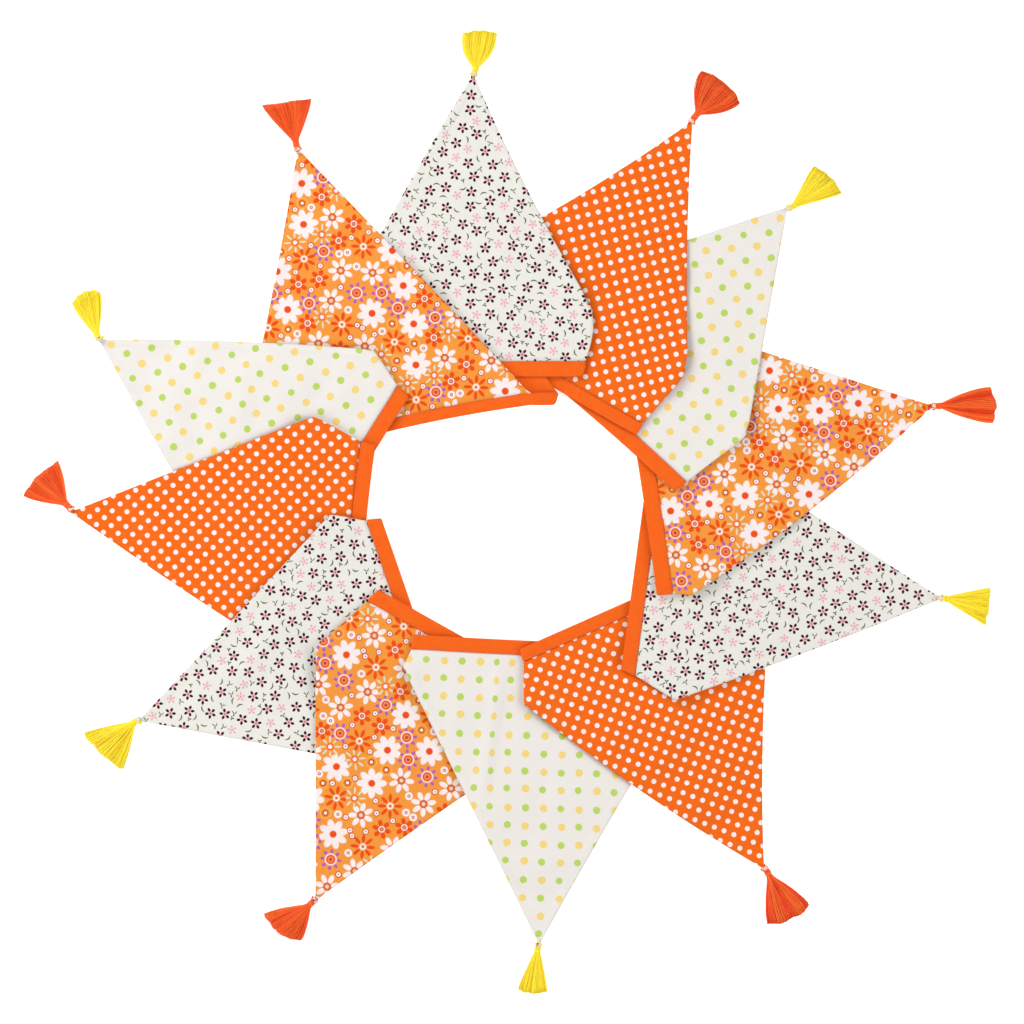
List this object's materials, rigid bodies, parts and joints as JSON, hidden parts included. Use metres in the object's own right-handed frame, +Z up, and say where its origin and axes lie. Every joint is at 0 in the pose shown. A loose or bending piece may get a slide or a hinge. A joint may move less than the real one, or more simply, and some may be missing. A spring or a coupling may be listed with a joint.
{
  "type": "fabric bunting",
  "caption": "Fabric bunting laid flat in a ring: overlapping triangular printed cotton pennants on an orange bias-tape binding, with a silky tassel on each tip.",
  "frame": {"origin": "on the surface that the bunting lies on, under the middle of its box", "axes": "+Z up from the surface, +Y towards the pennant that points up in the picture, +X to the picture's right"},
  "size_m": [0.6428, 0.6364, 0.0119],
  "materials": {
    "sprig_cotton": "off-white printed cotton with small dark red flowers",
    "spot_cotton": "orange printed cotton with small white spots",
    "dot_cotton": "white printed cotton with yellow and green dots",
    "daisy_cotton": "amber printed cotton with assorted daisies",
    "binding_tape": "plain orange bias tape, matt",
    "yellow_yarn": "silky yellow tassel yarn",
    "orange_yarn": "silky orange-red tassel yarn"
  },
  "bodies": {
    "root": {"binding_01": "binding_tape", "binding_02": "binding_tape", "pennant_01": "sprig_cotton", "pennant_02": "spot_cotton", "pennant_03": "dot_cotton", "pennant_04": "daisy_cotton", "pennant_05": "sprig_cotton", "pennant_06": "spot_cotton", "pennant_07": "dot_cotton", "pennant_08": "daisy_cotton", "pennant_09": "sprig_cotton", "pennant_10": "spot_cotton", "pennant_11": "dot_cotton", "pennant_12": "daisy_cotton", "tassel_01": "yellow_yarn", "tassel_02": "orange_yarn", "tassel_03": "yellow_yarn", "tassel_04": "orange_yarn", "tassel_05": "yellow_yarn", "tassel_06": "orange_yarn", "tassel_07": "yellow_yarn", "tassel_08": "orange_yarn", "tassel_09": "yellow_yarn", "tassel_10": "orange_yarn", "tassel_11": "yellow_yarn", "tassel_12": "orange_yarn"}
  },
  "joints": []
}
